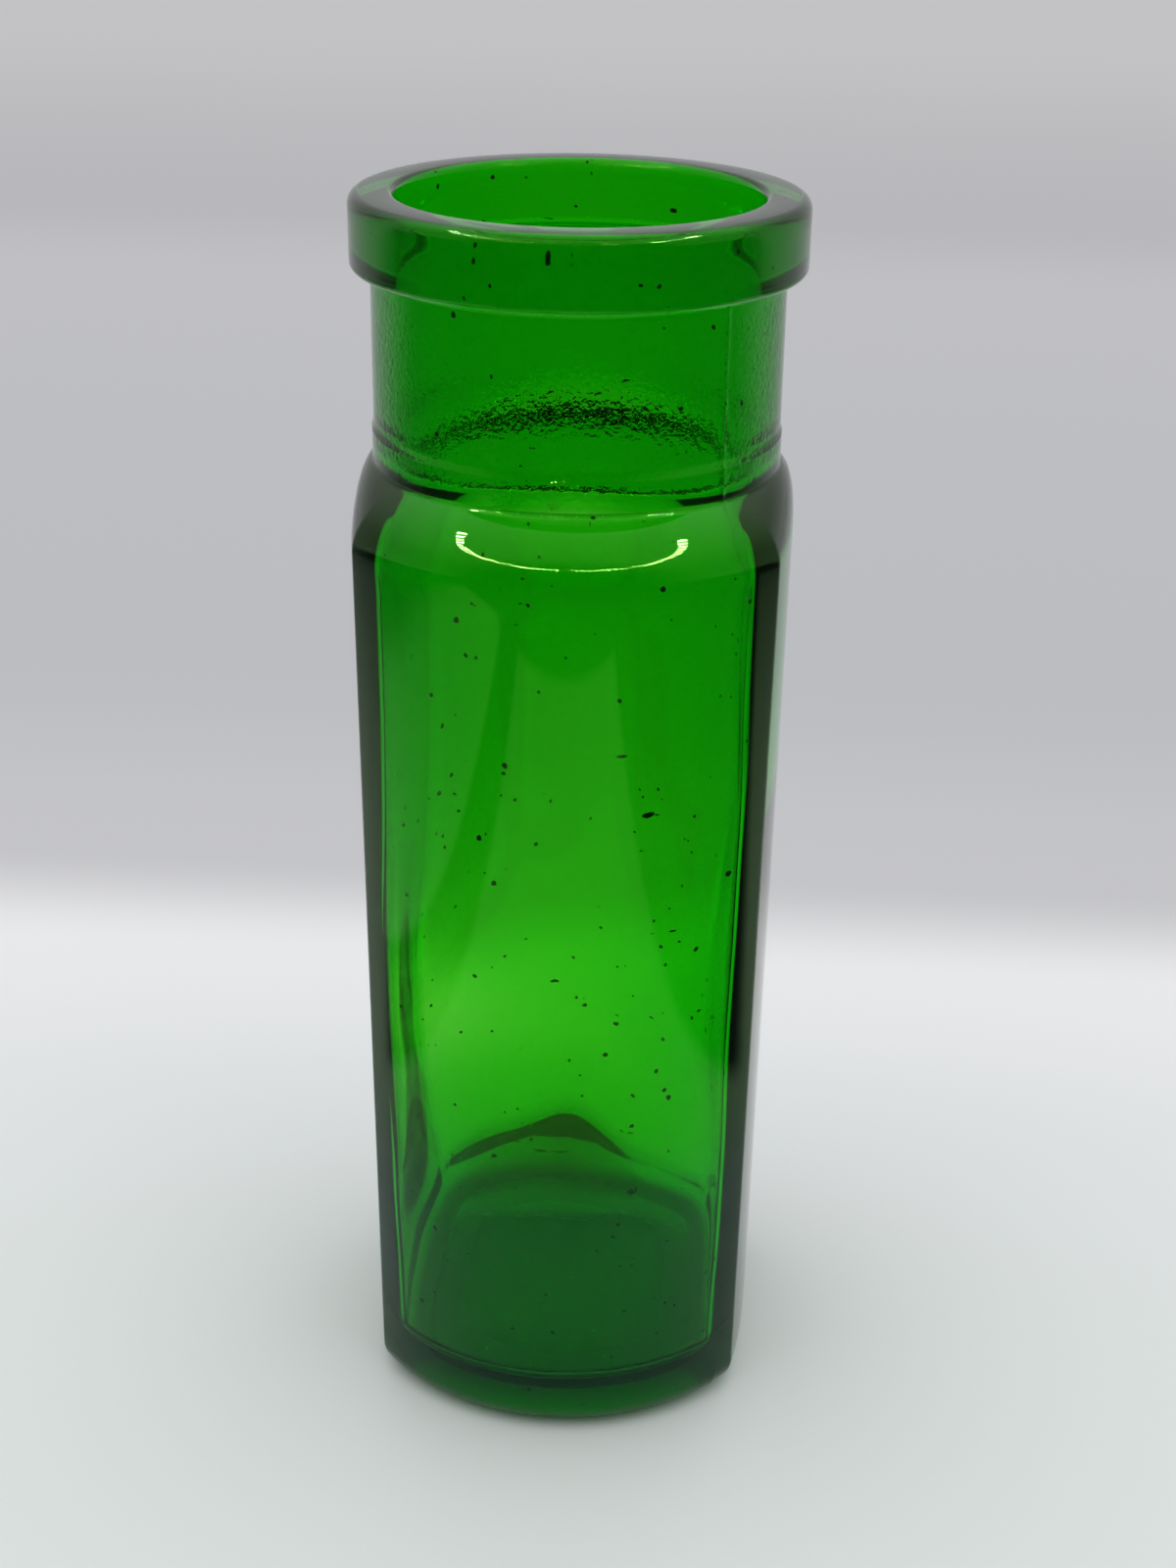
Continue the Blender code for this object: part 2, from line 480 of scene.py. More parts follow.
class NodeTree:
    """A short way to build the nodes of a material or of the world."""

    def __init__(self, tree: bpy.types.NodeTree) -> None:
        """Empty a node tree and keep it.

        Args:
            tree: the tree to build in.
        """
        self.tree = tree
        self.tree.nodes.clear()

    def node(self, kind: str) -> bpy.types.Node:
        """Add a node and return it."""
        return self.tree.nodes.new(kind)

    def join(self, source: bpy.types.NodeSocket, target: bpy.types.NodeSocket) -> None:
        """Link an output to an input."""
        self.tree.links.new(source, target)

    def feed(self, value: "float | bpy.types.NodeSocket", target: bpy.types.NodeSocket) -> None:
        """Give an input a number or a link.

        Args:
            value: the number or the output.
            target: the input.
        """
        if isinstance(value, bpy.types.NodeSocket):
            self.join(value, target)
        else:
            target.default_value = value

    def sum_of(self, operation: str, *values: "float | bpy.types.NodeSocket") -> bpy.types.NodeSocket:
        """Add a Math node.

        Args:
            operation: the name of the operation.
            values: numbers or outputs, in order.

        Returns:
            The result.
        """
        node = self.node("ShaderNodeMath")
        node.operation = operation
        for value, socket in zip(values, node.inputs):
            self.feed(value, socket)
        return node.outputs[0]

    def ramp(
        self,
        source: bpy.types.NodeSocket,
        start: float,
        end: float,
        low: float = 0.0,
        high: float = 1.0,
    ) -> bpy.types.NodeSocket:
        """Add a soft step from one number to another.

        Args:
            source: the value that drives it.
            start: the value at which it starts.
            end: the value at which it ends.
            low: what it gives at the start.
            high: what it gives at the end.

        Returns:
            The result.
        """
        node = self.node("ShaderNodeMapRange")
        node.interpolation_type = "SMOOTHSTEP"
        self.join(source, node.inputs["Value"])
        node.inputs["From Min"].default_value = start
        node.inputs["From Max"].default_value = end
        node.inputs["To Min"].default_value = low
        node.inputs["To Max"].default_value = high
        return node.outputs["Result"]

    def window(
        self, source: bpy.types.NodeSocket, start: float, end: float, soft: float
    ) -> bpy.types.NodeSocket:
        """Add a mask that is 1 between two values.

        Args:
            source: the value that drives it.
            start: the lower value.
            end: the upper value.
            soft: the width of each edge.

        Returns:
            The mask.
        """
        rise = self.ramp(source, start, start + soft)
        fall = self.ramp(source, end - soft, end, 1.0, 0.0)
        return self.sum_of("MULTIPLY", rise, fall)

    def mix(
        self,
        share: "float | bpy.types.NodeSocket",
        first: "Colour | bpy.types.NodeSocket",
        second: "Colour | bpy.types.NodeSocket",
    ) -> bpy.types.NodeSocket:
        """Mix two colours.

        Args:
            share: how much of the second.
            first: the first colour.
            second: the second colour.

        Returns:
            The colour.
        """
        node = self.node("ShaderNodeMix")
        node.data_type = "RGBA"
        self.feed(share, node.inputs[0])
        self.feed(first, node.inputs[MIX_FIRST])
        self.feed(second, node.inputs[MIX_SECOND])
        return node.outputs[MIX_RESULT]


@dataclass(frozen=True)
class JarSizes:
    """The jar's real sizes, the same as the CAD model's."""

    height: float = 0.1635
    lip_radius: float = 0.028
    lip_height: float = 0.0090
    lip_top_round: float = 0.0014
    lip_under_round: float = 0.0009
    mouth_round: float = 0.0010
    neck_radius: float = 0.0255
    neck_wall: float = 0.0032
    neck_height: float = 0.0238
    neck_fillet: float = 0.0008
    band_height: float = 0.0043
    band_step: float = 0.0002
    shoulder_drop: float = 0.0075
    shoulder_slope: float = math.radians(30)
    shoulder_wall: float = 0.0030
    inner_slope: float = math.radians(30)
    foot_shift: FootShift = FootShift(front=0.0030, back=0.0052, side=-0.0003, back_power=4.0)
    front_reach: float = 0.0316
    side_reach: float = 0.0277
    front_bow: float = 0.0124
    side_bow: float = 0.0019
    corner_round: float = 0.0015
    foot_draw_in: float = 0.0011
    heel_round: float = 0.0040
    front_wall: float = 0.0030
    side_wall: float = 0.0040
    inner_corner_round: float = 0.0040
    base_thickness: float = 0.0062
    inner_heel_round: float = 0.0035
    standing_width: float = 0.0030
    push_up_height: float = 0.0022
    push_up_power: float = 4.0

    @property
    def mouth_radius(self) -> float:
        """Return the radius of the bore."""
        return self.neck_radius - self.neck_wall

    @property
    def under_lip(self) -> float:
        """Return the height of the lip's underside."""
        return self.height - self.lip_height

    @property
    def crease(self) -> float:
        """Return the height of the crease between neck and shoulder."""
        return self.under_lip - self.neck_height

    @property
    def hollow_top(self) -> float:
        """Return the height at which the inner shoulder passes into the hollow's walls."""
        return self.body_top - self.shoulder_wall

    @property
    def body_top(self) -> float:
        """Return the height at which the shoulder passes into the panels."""
        return self.crease - self.shoulder_drop

    def plan(self) -> Plan:
        """Return the body's outline at its widest.

        Returns:
            The outline, with bows that pass through the middles of the panels and the corners.
        """
        corner = Vector((self.side_reach - self.side_bow, self.front_reach - self.front_bow))
        front_radius = (corner.x ** 2 + self.front_bow ** 2) / (2 * self.front_bow)
        side_radius = (corner.y ** 2 + self.side_bow ** 2) / (2 * self.side_bow)
        front_centre = Vector((0, self.front_reach - front_radius))
        side_centre = Vector((self.side_reach - side_radius, 0))
        return Plan(front_centre, front_radius, side_centre, side_radius, self.corner_round)

    def draw_in_at(self, height: float) -> float:
        """Return how far the body has narrowed at a height."""
        return self.foot_draw_in * (self.body_top - height) / self.body_top


@dataclass(frozen=True)
class Fineness:
    """How many levels each stretch of the profile gets, and how many points go round."""

    around: int = 320
    push_up: int = 20
    standing: int = 3
    heel: int = 12
    panels: int = 56
    shoulder: int = 22
    neck: int = 16
    edge: int = 6
    band: tuple[float, ...] = (0.1, 0.5, 0.9)
    lip: int = 4
    bore: int = 14
    hollow: int = 56
    inner_heel: int = 14
    inner_floor: int = 20
    table: int = 4000
    corner_pull: float = 6.0
    corner_width: float = math.radians(5)
    seam_pull: float = 8.0
    seam_width: float = math.radians(0.8)


@dataclass
class GlassJar:
    """The jar: one closed skin that runs over the outside and down the inside."""

    sizes: JarSizes = field(default_factory=JarSizes)
    fineness: Fineness = field(default_factory=Fineness)
    finish: GlassFinish = field(default_factory=GlassFinish)
    seam_headings: tuple[float, ...] = (math.radians(-43.5), math.radians(136.5))
    seam_height: float = 0.00008
    uneven_scale: float = 0.032
    uneven_depth: float = 0.0010
    uneven_shares: dict[Part, float] = field(default_factory=lambda: {
        Part.INNER_SHOULDER: 0.4,
        Part.HOLLOW: 1.0,
        Part.INNER_HEEL: 1.0,
        Part.INNER_FLOOR: 1.0,
    })
    swells: tuple[Swell, ...] = (
        Swell(180, 32, 0.050, 0.026, -0.0020),
        Swell(180, 30, 0.108, 0.016, 0.0005),
        Swell(180, 30, 0.028, 0.010, -0.0008),
        Swell(0, 30, 0.0945, 0.009, -0.0012),
        Swell(0, 36, 0.056, 0.016, 0.0008),
        Swell(-90, 60, 0.066, 0.036, -0.0011),
        Swell(90, 60, 0.066, 0.036, -0.0010),
        Swell(-131, 22, 0.066, 0.020, -0.0013),
        Swell(125, 24, 0.034, 0.014, -0.0013),
        Swell(95, 40, 0.024, 0.012, -0.0010),
    )
    heaps: tuple[Heap, ...] = (
        Heap(92, 17, 0.0065),
        Heap(118, 14, 0.0026),
        Heap(62, 14, -0.0005),
    )
    heap_top: float = 0.034
    heap_fade: float = 0.020

    def build(self) -> bpy.types.Object:
        """Model the jar, dress it and put it in the place of its CAD node.

        Returns:
            The finished piece.
        """
        levels = self.levels()
        headings = self.headings()
        jar = self.turned_profile(levels)
        self.fit_outlines(jar, levels, headings)
        self.close_skin(jar)
        self.shift_walls(jar, levels)
        self.make_uneven(jar, levels)
        floor_level = [level.part for level in levels].index(Part.INNER_FLOOR)
        material = self.finish.material(self.sizes.crease, self.sizes.under_lip, floor_level)
        jar.data.materials.append(material)
        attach(jar, ROOT_BODY)
        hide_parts(CAD_NODE)
        LOG.info("glass skin: %d points, %d faces", len(jar.data.vertices), len(jar.data.polygons))
        return jar

    def levels(self) -> list[Level]:
        """Return the profile from the middle of the base round to the middle of the hollow's floor."""
        return self.outside_levels() + self.lip_levels() + self.inside_levels()

    @staticmethod
    def quarter(steps: int, first: int = 0) -> list[tuple[float, float]]:
        """Return the sine and the cosine along a quarter turn.

        Args:
            steps: how many steps the turn has.
            first: the step to start from.

        Returns:
            The pairs, the last one included.
        """
        angles = [QUARTER_TURN * step / steps for step in range(first, steps + 1)]
        return [(math.sin(angle), math.cos(angle)) for angle in angles]

    def outside_levels(self) -> list[Level]:
        """Return the levels of the outside below the lip.

        Returns:
            The levels of the base, the heel, the panels, the shoulder and the neck.
        """
        sizes, fine, plan = self.sizes, self.fineness, self.sizes.plan()
        levels: list[Level] = []
        foot_inset = sizes.foot_draw_in + sizes.heel_round + sizes.standing_width
        foot = plan.drawn_in(foot_inset, foot_inset, sizes.corner_round)
        for step in range(fine.push_up + 1):
            share = 1 - (1 - step / fine.push_up) ** 2
            height = sizes.push_up_height * (1 - share ** sizes.push_up_power)
            levels.append(ScaledLevel(Part.PUSH_UP, foot, height, share))
        for sine, cosine in self.quarter(fine.heel):
            height = sizes.heel_round * (1 - cosine)
            inset = sizes.heel_round * (1 - sine) + sizes.draw_in_at(height)
            level_plan = plan.drawn_in(inset, inset, sizes.corner_round)
            levels.append(PlanLevel(Part.HEEL, level_plan, height))
        for step in range(1, fine.panels + 1):
            height = sizes.heel_round + (sizes.body_top - sizes.heel_round) * step / fine.panels
            inset = sizes.draw_in_at(height)
            level_plan = plan.drawn_in(inset, inset, sizes.corner_round)
            levels.append(PlanLevel(Part.PANELS, level_plan, height))
        for step in reversed(range(fine.shoulder)):
            levels.append(self.shoulder(Part.SHOULDER, plan, step))
        band_radius = sizes.neck_radius + sizes.band_step
        band_top = sizes.crease + sizes.band_height
        for share in fine.band:
            height = sizes.crease + sizes.band_height * share
            levels.append(RoundLevel(Part.NECK, band_radius, height))
        levels.append(RoundLevel(Part.NECK, band_radius, band_top - sizes.band_step))
        levels.append(RoundLevel(Part.NECK, sizes.neck_radius, band_top))
        neck_end = sizes.under_lip - sizes.neck_fillet
        for step in range(1, fine.neck):
            height = band_top + (neck_end - band_top) * step / fine.neck
            levels.append(RoundLevel(Part.NECK, sizes.neck_radius, height))
        for sine, cosine in self.quarter(fine.edge):
            radius = sizes.neck_radius + sizes.neck_fillet * (1 - cosine)
            height = sizes.under_lip - sizes.neck_fillet * (1 - sine)
            levels.append(RoundLevel(Part.NECK, radius, height))
        return levels

    def shoulder(self, part: Part, plan: Plan, step: int) -> ShoulderLevel:
        """Return one level of the outer or the inner shoulder.

        Args:
            part: which of the two.
            plan: the outline that the shoulder spreads to.
            step: how many steps it is away from the neck.

        Returns:
            The level.
        """
        sizes = self.sizes
        outer = part is Part.SHOULDER
        radius = sizes.neck_radius + sizes.band_step if outer else sizes.mouth_radius
        share = step / self.fineness.shoulder
        if outer:
            return ShoulderLevel(
                part, radius, plan, sizes.crease, sizes.shoulder_drop, sizes.shoulder_slope, share
            )
        drop = sizes.crease - sizes.hollow_top
        return ShoulderLevel(
            part, radius, plan, sizes.crease, drop, sizes.inner_slope, share, sizes.foot_shift
        )

    def lip_levels(self) -> list[Level]:
        """Return the levels of the lip.

        Returns:
            The levels, from its underside over the top to the mouth.
        """
        sizes, fine = self.sizes, self.fineness
        levels: list[Level] = []
        for sine, cosine in self.quarter(fine.edge):
            radius = sizes.lip_radius - sizes.lip_under_round * (1 - sine)
            height = sizes.under_lip + sizes.lip_under_round * (1 - cosine)
            levels.append(RoundLevel(Part.LIP, radius, height))
        low = sizes.under_lip + sizes.lip_under_round
        high = sizes.height - sizes.lip_top_round
        for step in range(1, fine.lip):
            height = low + (high - low) * step / fine.lip
            levels.append(RoundLevel(Part.LIP, sizes.lip_radius, height))
        for sine, cosine in self.quarter(fine.edge):
            radius = sizes.lip_radius - sizes.lip_top_round * (1 - cosine)
            height = sizes.height - sizes.lip_top_round * (1 - sine)
            levels.append(RoundLevel(Part.LIP, radius, height))
        for sine, cosine in self.quarter(fine.edge):
            radius = sizes.mouth_radius + sizes.mouth_round * (1 - sine)
            height = sizes.height - sizes.mouth_round * (1 - cosine)
            levels.append(RoundLevel(Part.LIP, radius, height))
        return levels

    def inside_levels(self) -> list[Level]:
        """Return the levels of the inside.

        Returns:
            The levels of the bore, the inner shoulder, the hollow, its heel and its floor.
        """
        sizes, fine = self.sizes, self.fineness
        plan = sizes.plan().drawn_in(sizes.front_wall, sizes.side_wall, sizes.inner_corner_round)
        levels: list[Level] = []
        radius, bore_top = sizes.mouth_radius, sizes.height - sizes.mouth_round
        for step in range(1, fine.bore):
            share = step / fine.bore
            height = bore_top + (sizes.crease - bore_top) * share
            levels.append(RoundLevel(Part.BORE, radius, height, sizes.foot_shift, share ** 2))
        for step in range(fine.shoulder + 1):
            levels.append(self.shoulder(Part.INNER_SHOULDER, plan, step))
        hollow_foot = sizes.base_thickness + sizes.inner_heel_round
        for step in range(1, fine.hollow + 1):
            height = sizes.hollow_top + (hollow_foot - sizes.hollow_top) * step / fine.hollow
            inset = sizes.draw_in_at(height)
            level_plan = plan.drawn_in(inset, inset, sizes.inner_corner_round)
            levels.append(PlanLevel(Part.HOLLOW, level_plan, height))
        for sine, cosine in self.quarter(fine.inner_heel, 1):
            height = hollow_foot - sizes.inner_heel_round * sine
            inset = sizes.draw_in_at(height) + sizes.inner_heel_round * (1 - cosine)
            level_plan = plan.drawn_in(inset, inset, sizes.inner_corner_round)
            levels.append(PlanLevel(Part.INNER_HEEL, level_plan, height))
        last = levels[-1]
        for step in range(1, fine.inner_floor + 1):
            share = 1 - step / fine.inner_floor
            levels.append(ScaledLevel(Part.INNER_FLOOR, last.plan, last.height, share))
        return levels

    def headings(self) -> list[float]:
        """Share out the points round the jar.

        Returns:
            Their angles, closer together at the corners and the seams.
        """
        fine = self.fineness
        corner = heading(self.sizes.plan().corner(0))
        gathers = [(sign * base, fine.corner_pull, fine.corner_width)
                   for sign in (1, -1) for base in (corner, math.pi - corner)]
        gathers += [(seam, fine.seam_pull, fine.seam_width) for seam in self.seam_headings]
        total, sums = 0.0, [0.0]
        for cell in range(fine.table):
            angle = FULL_TURN * (cell + 0.5) / fine.table
            density = 1.0
            for centre, pull, width in gathers:
                away = math.remainder(angle - centre, FULL_TURN) / width
                density += pull * math.exp(-away * away)
            total += density
            sums.append(total)
        angles, cell = [], 0
        for index in range(fine.around):
            wanted = total * index / fine.around
            while sums[cell + 1] < wanted:
                cell += 1
            inside = (wanted - sums[cell]) / (sums[cell + 1] - sums[cell])
            angles.append(FULL_TURN * (cell + inside) / fine.table)
        return angles

    def turned_profile(self, levels: Sequence[Level]) -> bpy.types.Object:
        """Draw the profile point by point and spin it round the axis.

        Args:
            levels: the profile's levels.

        Returns:
            The skin, still round, with each point's level in an attribute.
        """
        away = Vector((1, 0))
        points = [level.point(away) for level in levels]
        bpy.ops.object.select_all(action="DESELECT")
        bpy.ops.mesh.primitive_plane_add(size=self.sizes.mouth_radius)
        jar = bpy.context.object
        jar.name = jar.data.name = "jar_glass"
        bpy.ops.object.mode_set(mode="EDIT")
        bpy.ops.mesh.select_all(action="SELECT")
        bpy.ops.mesh.merge(type="CENTER")
        bpy.ops.transform.translate(value=points[0])
        for before, after in zip(points, points[1:]):
            bpy.ops.mesh.extrude_region_move(TRANSFORM_OT_translate={"value": after - before})
        bpy.ops.object.mode_set(mode="OBJECT")
        marks = jar.data.attributes.new("level", "INT", "POINT")
        for vertex, mark in zip(jar.data.vertices, marks.data):
            gaps = [(vertex.co - point).length_squared for point in points]
            mark.value = gaps.index(min(gaps))
        bpy.ops.object.mode_set(mode="EDIT")
        bpy.ops.mesh.select_all(action="SELECT")
        bpy.ops.mesh.spin(
            steps=self.fineness.around, angle=FULL_TURN, center=(0, 0, 0), axis=(0, 0, 1)
        )
        bpy.ops.object.mode_set(mode="OBJECT")
        return jar

    def fit_outlines(
        self, jar: bpy.types.Object, levels: Sequence[Level], headings: Sequence[float]
    ) -> None:
        """Bring each level of the round skin to its own outline.

        Args:
            jar: the spun skin.
            levels: the profile's levels.
            headings: the angles of the points round the jar.
        """
        directions = [Vector((math.cos(angle), math.sin(angle))) for angle in headings]
        count = self.fineness.around
        marks = jar.data.attributes["level"].data
        for vertex, mark in zip(jar.data.vertices, marks):
            turn = heading(vertex.co.xy) if vertex.co.xy.length > ON_AXIS else 0.0
            index = round(turn / FULL_TURN * count) % count
            vertex.co = levels[mark.value].point(directions[index])

    @staticmethod
    def close_skin(jar: bpy.types.Object) -> None:
        """Join the seam of the spin and the two middles, and turn the faces outward.

        Args:
            jar: the fitted skin.
        """
        bpy.ops.object.mode_set(mode="EDIT")
        bpy.ops.mesh.select_all(action="SELECT")
        bpy.ops.mesh.remove_doubles(threshold=SAME_PLACE)
        bpy.ops.mesh.normals_make_consistent(inside=False)
        bpy.ops.mesh.select_all(action="DESELECT")
        bpy.ops.object.mode_set(mode="OBJECT")
        bpy.ops.object.shade_smooth()

    def shift_walls(self, jar: bpy.types.Object, levels: Sequence[Level]) -> None:
        """Make the hollow's walls thicker here and thinner there, and raise seams and heaps.

        Args:
            jar: the closed skin.
            levels: the profile's levels.
        """
        marks = jar.data.attributes["level"].data
        fillet_foot = self.sizes.under_lip - self.sizes.neck_fillet
        for vertex, mark in zip(jar.data.vertices, marks):
            level = levels[mark.value]
            if level.part in (Part.HOLLOW, Part.INNER_HEEL, Part.INNER_SHOULDER):
                inward = sum(swell.inward(vertex.co) for swell in self.swells)
                vertex.co.xy -= vertex.co.xy.normalized() * inward
            if level.part in (Part.NECK, Part.HEEL) and vertex.co.z < fillet_foot:
                vertex.co.xy += vertex.co.xy.normalized() * self.ridge(vertex.co)
            if level.part in (Part.HOLLOW, Part.INNER_HEEL, Part.INNER_FLOOR):
                share = level.share if isinstance(level, ScaledLevel) else 1.0
                low = eased((self.heap_top - vertex.co.z) / self.heap_fade)
                lift = sum(heap.lift(vertex.co) for heap in self.heaps)
                vertex.co.z += lift * low * share ** 2

    def ridge(self, point: Vector) -> float:
        """Return how far the mould's seam stands out.

        Args:
            point: a point of the skin.

        Returns:
            The height of the ridge there.
        """
        turns = [math.remainder(heading(point.xy) - seam, FULL_TURN) for seam in self.seam_headings]
        across = min(map(abs, turns)) / self.fineness.seam_width
        return self.seam_height * math.exp(-across * across)

    def make_uneven(self, jar: bpy.types.Object, levels: Sequence[Level]) -> None:
        """Give the hollow the wavy inside that moulded glass has.

        Args:
            jar: the closed skin.
            levels: the profile's levels.
        """
        marks = jar.data.attributes["level"].data
        group = jar.vertex_groups.new(name="hollow")
        for vertex, mark in zip(jar.data.vertices, marks):
            level = levels[mark.value]
            weight = self.uneven_shares.get(level.part, 0.0)
            if isinstance(level, ScaledLevel):
                weight *= eased(level.share)
            if weight:
                group.add([vertex.index], weight, "REPLACE")
        cloud = bpy.data.textures.new("uneven_hollow", "CLOUDS")
        cloud.noise_scale = self.uneven_scale
        cloud.noise_depth = 1
        cloud.noise_basis = "IMPROVED_PERLIN"
        modifier = jar.modifiers.new("uneven", "DISPLACE")
        modifier.texture = cloud
        modifier.texture_coords = "LOCAL"
        modifier.mid_level = 0.5
        modifier.strength = self.uneven_depth
        modifier.vertex_group = group.name
        bpy.context.view_layer.objects.active = jar
        bpy.ops.object.modifier_apply(modifier=modifier.name)


@dataclass(frozen=True)
class Span:
    """The start and the end of a soft step."""

    start: float
    end: float


@dataclass(frozen=True)
class Stage:
    """The pale floor that the jar stands on. It has painted light and shade across it, and further out
    a painted dark reflection that only the glass's mirror images show.
    """

    half_width: float = 3.0
    gap: float = 0.0002
    # Painted reflection: the dark colour that glossy rays see on the floor, and the spans below that
    # shape where it lies
    painted_reflection_colour: Colour = (0.085, 0.09, 0.115, 1.0)
    painted_reflection_front: Span = Span(0.285, 0.30)
    painted_reflection_aside: Span = Span(0.15, 0.50)
    painted_reflection_behind: Span = Span(0.05, 0.35)
    left_gap: Span = Span(0.10, 0.155)
    left_gap_edge: float = 0.01
    left_end: Span = Span(0.24, 0.34)
    right_end: Span = Span(0.10, 0.112)
    before: Span = Span(0.0, 0.02)
    # Painted light and shade: the paper's colour is brightest just behind the jar and darker further
    # back, in place of light falling off.
    painted_light_colours: tuple[tuple[float, Colour], ...] = (
        (-0.30, (0.90, 0.93, 0.94, 1.0)),
        (-0.02, (0.85, 0.89, 0.88, 1.0)),
        (0.04, (0.87, 0.89, 0.90, 1.0)),
        (0.10, (0.92, 0.92, 0.94, 1.0)),
        (0.14, (0.62, 0.62, 0.64, 1.0)),
        (0.25, (0.55, 0.56, 0.58, 1.0)),
        (0.70, (0.58, 0.58, 0.60, 1.0)),
        (0.85, (0.53, 0.53, 0.55, 1.0)),
        (1.60, (0.60, 0.60, 0.61, 1.0)),
    )

    def build(self) -> bpy.types.Object:
        """Lay the floor.

        Returns:
            The floor.
        """
        bpy.ops.object.select_all(action="DESELECT")
        bpy.ops.mesh.primitive_plane_add(size=2 * self.half_width, location=(0, 0, -self.gap))
        floor = bpy.context.object
        floor.name = "floor"
        bpy.ops.object.transform_apply()
        floor.data.materials.append(self.paper())
        return floor

    def paper(self) -> bpy.types.Material:
        """Make the floor's pale paper. It has painted light brightest just behind the jar, painted
        shade further back, and a painted dark reflection for glossy rays.

        Returns:
            The material.
        """
        material = bpy.data.materials.new("pale_paper")
        material.use_nodes = True
        tree = NodeTree(material.node_tree)
        place = tree.node("ShaderNodeTexCoord")
        split = tree.node("ShaderNodeSeparateXYZ")
        tree.join(place.outputs["Object"], split.inputs[0])
        colour: bpy.types.NodeSocket | None = None
        # The painted light and shade bands, blended along Y
        for (start, first), (end, second) in zip(self.painted_light_colours, self.painted_light_colours[1:]):
            share = tree.ramp(split.outputs["Y"], start, end)
            colour = tree.mix(share, colour or first, second)
        # After a glossy bounce the floor shows the painted dark reflection in place of its painted
        # light bands
        path = tree.node("ShaderNodeLightPath")
        mirrored = tree.sum_of("MINIMUM", path.outputs["Glossy Depth"], 1.0)
        dark_reflection_mask = tree.sum_of("MULTIPLY", self.dark_reflection_mask(tree, split), mirrored)
        shader = tree.node("ShaderNodeBsdfDiffuse")
        tree.join(tree.mix(dark_reflection_mask, colour, self.painted_reflection_colour), shader.inputs["Color"])
        output = tree.node("ShaderNodeOutputMaterial")
        tree.join(shader.outputs[0], output.inputs["Surface"])
        return material

    def dark_reflection_mask(self, tree: NodeTree, split: bpy.types.Node) -> bpy.types.NodeSocket:
        """Add a mask of the places where the floor carries a painted dark reflection, which only
        glossy rays see.

        Args:
            tree: the material's nodes.
            split: the place on the floor, as three numbers.

        Returns:
            The mask, 1 where the painted dark reflection goes.
        """
        rightward, backward = split.outputs["X"], split.outputs["Y"]
        leftward = tree.sum_of("MULTIPLY", rightward, -1.0)
        forward = tree.sum_of("MULTIPLY", backward, -1.0)
        front = tree.ramp(forward, self.painted_reflection_front.start, self.painted_reflection_front.end)
        outward = tree.sum_of("ABSOLUTE", rightward)
        aside = tree.ramp(outward, self.painted_reflection_aside.start, self.painted_reflection_aside.end)
        behind = tree.ramp(backward, self.painted_reflection_behind.start, self.painted_reflection_behind.end, 1.0, 0.0)
        beside = tree.sum_of("MULTIPLY", aside, behind)
        gap = tree.window(leftward, self.left_gap.start, self.left_gap.end, self.left_gap_edge)
        left = tree.ramp(leftward, self.left_end.start, self.left_end.end)
        right = tree.ramp(rightward, self.right_end.start, self.right_end.end)
        sides = tree.sum_of("MAXIMUM", tree.sum_of("MAXIMUM", gap, left), right)
        near = tree.ramp(forward, self.before.start, self.before.end)
        before = tree.sum_of("MULTIPLY", sides, near)
        return tree.sum_of("MAXIMUM", tree.sum_of("MAXIMUM", front, beside), before)


@dataclass(frozen=True)
class SoftLight:
    """The pale room round the jar, with a darker opening behind the camera."""

    tent: Colour = (0.58, 0.58, 0.60, 1.0)
    above: Colour = (1.25, 1.25, 1.25, 1.0)
    opening: Colour = (0.03, 0.03, 0.033, 1.0)
    strength: float = 1.0
    overhead: Span = Span(0.35, 0.9)
    facing: Span = Span(-0.45, -0.85)

    def build(self) -> None:
        """Set up the world."""
        world = bpy.data.worlds.new("soft_tent")
        bpy.context.scene.world = world
        world.use_nodes = True
        tree = NodeTree(world.node_tree)
        place = tree.node("ShaderNodeTexCoord")
        split = tree.node("ShaderNodeSeparateXYZ")
        tree.join(place.outputs["Generated"], split.inputs[0])
        overhead = tree.ramp(split.outputs["Z"], self.overhead.start, self.overhead.end)
        walls = tree.mix(overhead, self.tent, self.above)
        facing = tree.ramp(split.outputs["Y"], self.facing.start, self.facing.end)
        path = tree.node("ShaderNodeLightPath")
        bounced = tree.sum_of("MAXIMUM", path.outputs["Glossy Depth"], path.outputs["Diffuse Depth"])
        shown = tree.sum_of("MULTIPLY", facing, tree.sum_of("MINIMUM", bounced, 1.0))
        colour = tree.mix(shown, walls, self.opening)
        back = tree.node("ShaderNodeBackground")
        tree.join(colour, back.inputs["Color"])
        back.inputs["Strength"].default_value = self.strength
        output = tree.node("ShaderNodeOutputWorld")
        tree.join(back.outputs[0], output.inputs["Surface"])


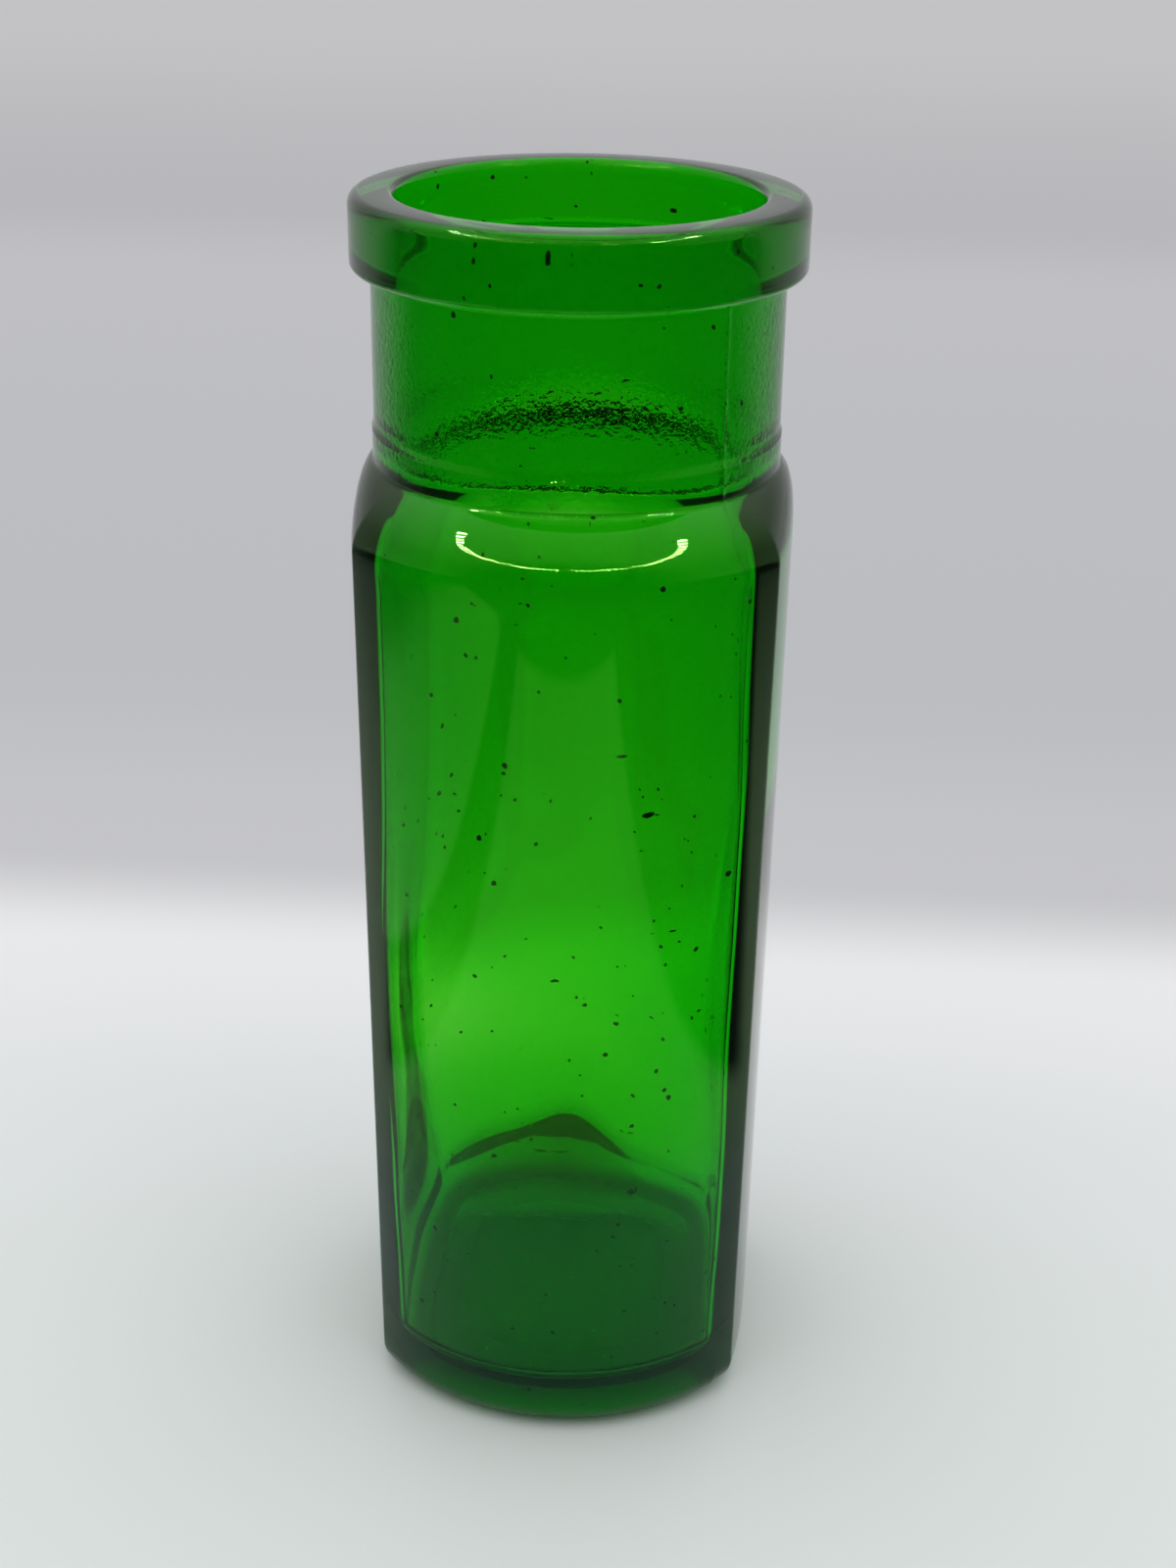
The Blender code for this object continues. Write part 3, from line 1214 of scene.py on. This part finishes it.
@dataclass(frozen=True)
class LampRing:
    """A ring of small lamps above the jar, open at the back, that only gloss and glass show."""

    centre: Vector = field(default_factory=lambda: Vector((0, -0.104, 0.274)))
    radius: float = 0.126
    half_turn: float = math.radians(128)
    count: int = 50
    chip_across: float = 0.012
    chip_along: float = 0.0045
    colour: Colour = (1.0, 0.62, 1.0, 1.0)
    strength: float = 170.0

    def build(self) -> bpy.types.Object:
        """Hang the lamps.

        Returns:
            The lamps, one mesh.
        """
        shape = bmesh.new()
        for index in range(self.count):
            turn = -QUARTER_TURN + self.half_turn * (2 * index / (self.count - 1) - 1)
            outward = Vector((math.cos(turn), math.sin(turn), 0))
            aside = Vector((-outward.y, outward.x, 0))
            middle = self.centre + outward * self.radius
            halves = outward * self.chip_across / 2, aside * self.chip_along / 2
            ring = [middle + halves[0] * across + halves[1] * along
                    for across, along in ((-1, -1), (-1, 1), (1, 1), (1, -1))]
            shape.faces.new([shape.verts.new(point) for point in ring])
        mesh = bpy.data.meshes.new("lamp_ring")
        shape.to_mesh(mesh)
        shape.free()
        lamps = bpy.data.objects.new("lamp_ring", mesh)
        bpy.context.scene.collection.objects.link(lamps)
        mesh.materials.append(self.glow())
        lamps.visible_camera = False
        lamps.visible_diffuse = False
        lamps.visible_shadow = False
        return lamps

    def glow(self) -> bpy.types.Material:
        """Make the lamps' glow, which adds no light to the paper.

        Returns:
            The material.
        """
        material = bpy.data.materials.new("lamp_glow")
        material.use_nodes = True
        tree = NodeTree(material.node_tree)
        path = tree.node("ShaderNodeLightPath")
        direct = tree.sum_of("LESS_THAN", path.outputs["Diffuse Depth"], 0.5)
        shader = tree.node("ShaderNodeEmission")
        shader.inputs["Color"].default_value = self.colour
        tree.join(tree.sum_of("MULTIPLY", direct, self.strength), shader.inputs["Strength"])
        output = tree.node("ShaderNodeOutputMaterial")
        tree.join(shader.outputs[0], output.inputs["Surface"])
        return material


@dataclass(frozen=True)
class Camera:
    """The photograph's viewing angle."""

    distance: float = 0.2753
    height: float = 0.2125
    round_angle: float = math.radians(3.83)
    pitch: float = math.radians(24.908)
    yaw: float = math.radians(0.432)
    roll: float = math.radians(0.892)
    focal_pixels: float = 2292.0
    long_side_pixels: float = 1600.0
    sensor: float = 36.0
    nearest: float = 0.01

    def build(self) -> bpy.types.Object:
        """Put up the camera.

        Returns:
            The camera.
        """
        data = bpy.data.cameras.new("camera")
        data.sensor_width = self.sensor
        data.lens = self.focal_pixels / self.long_side_pixels * self.sensor
        data.clip_start = self.nearest
        camera = bpy.data.objects.new("camera", data)
        bpy.context.scene.collection.objects.link(camera)
        forward = Vector((
            math.sin(self.yaw) * math.cos(self.pitch),
            math.cos(self.yaw) * math.cos(self.pitch),
            -math.sin(self.pitch),
        ))
        level_right = Vector((math.cos(self.yaw), -math.sin(self.yaw), 0))
        level_up = level_right.cross(forward)
        right = level_right * math.cos(self.roll) + level_up * math.sin(self.roll)
        up = level_up * math.cos(self.roll) - level_right * math.sin(self.roll)
        turned = Matrix((right, up, -forward)).transposed().to_4x4()
        turned.translation = Vector((0, -self.distance, self.height))
        camera.matrix_world = Matrix.Rotation(self.round_angle, 4, "Z") @ turned
        bpy.context.scene.camera = camera
        return camera


def main() -> None:
    """Build the scene."""
    logging.basicConfig(level=logging.INFO, format="%(message)s")
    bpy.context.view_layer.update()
    bpy.context.scene.view_settings.view_transform = "Standard"
    GlassJar().build()
    Stage().build()
    SoftLight().build()
    LampRing().build()
    Camera().build()


if __name__ == "__main__":
    main()
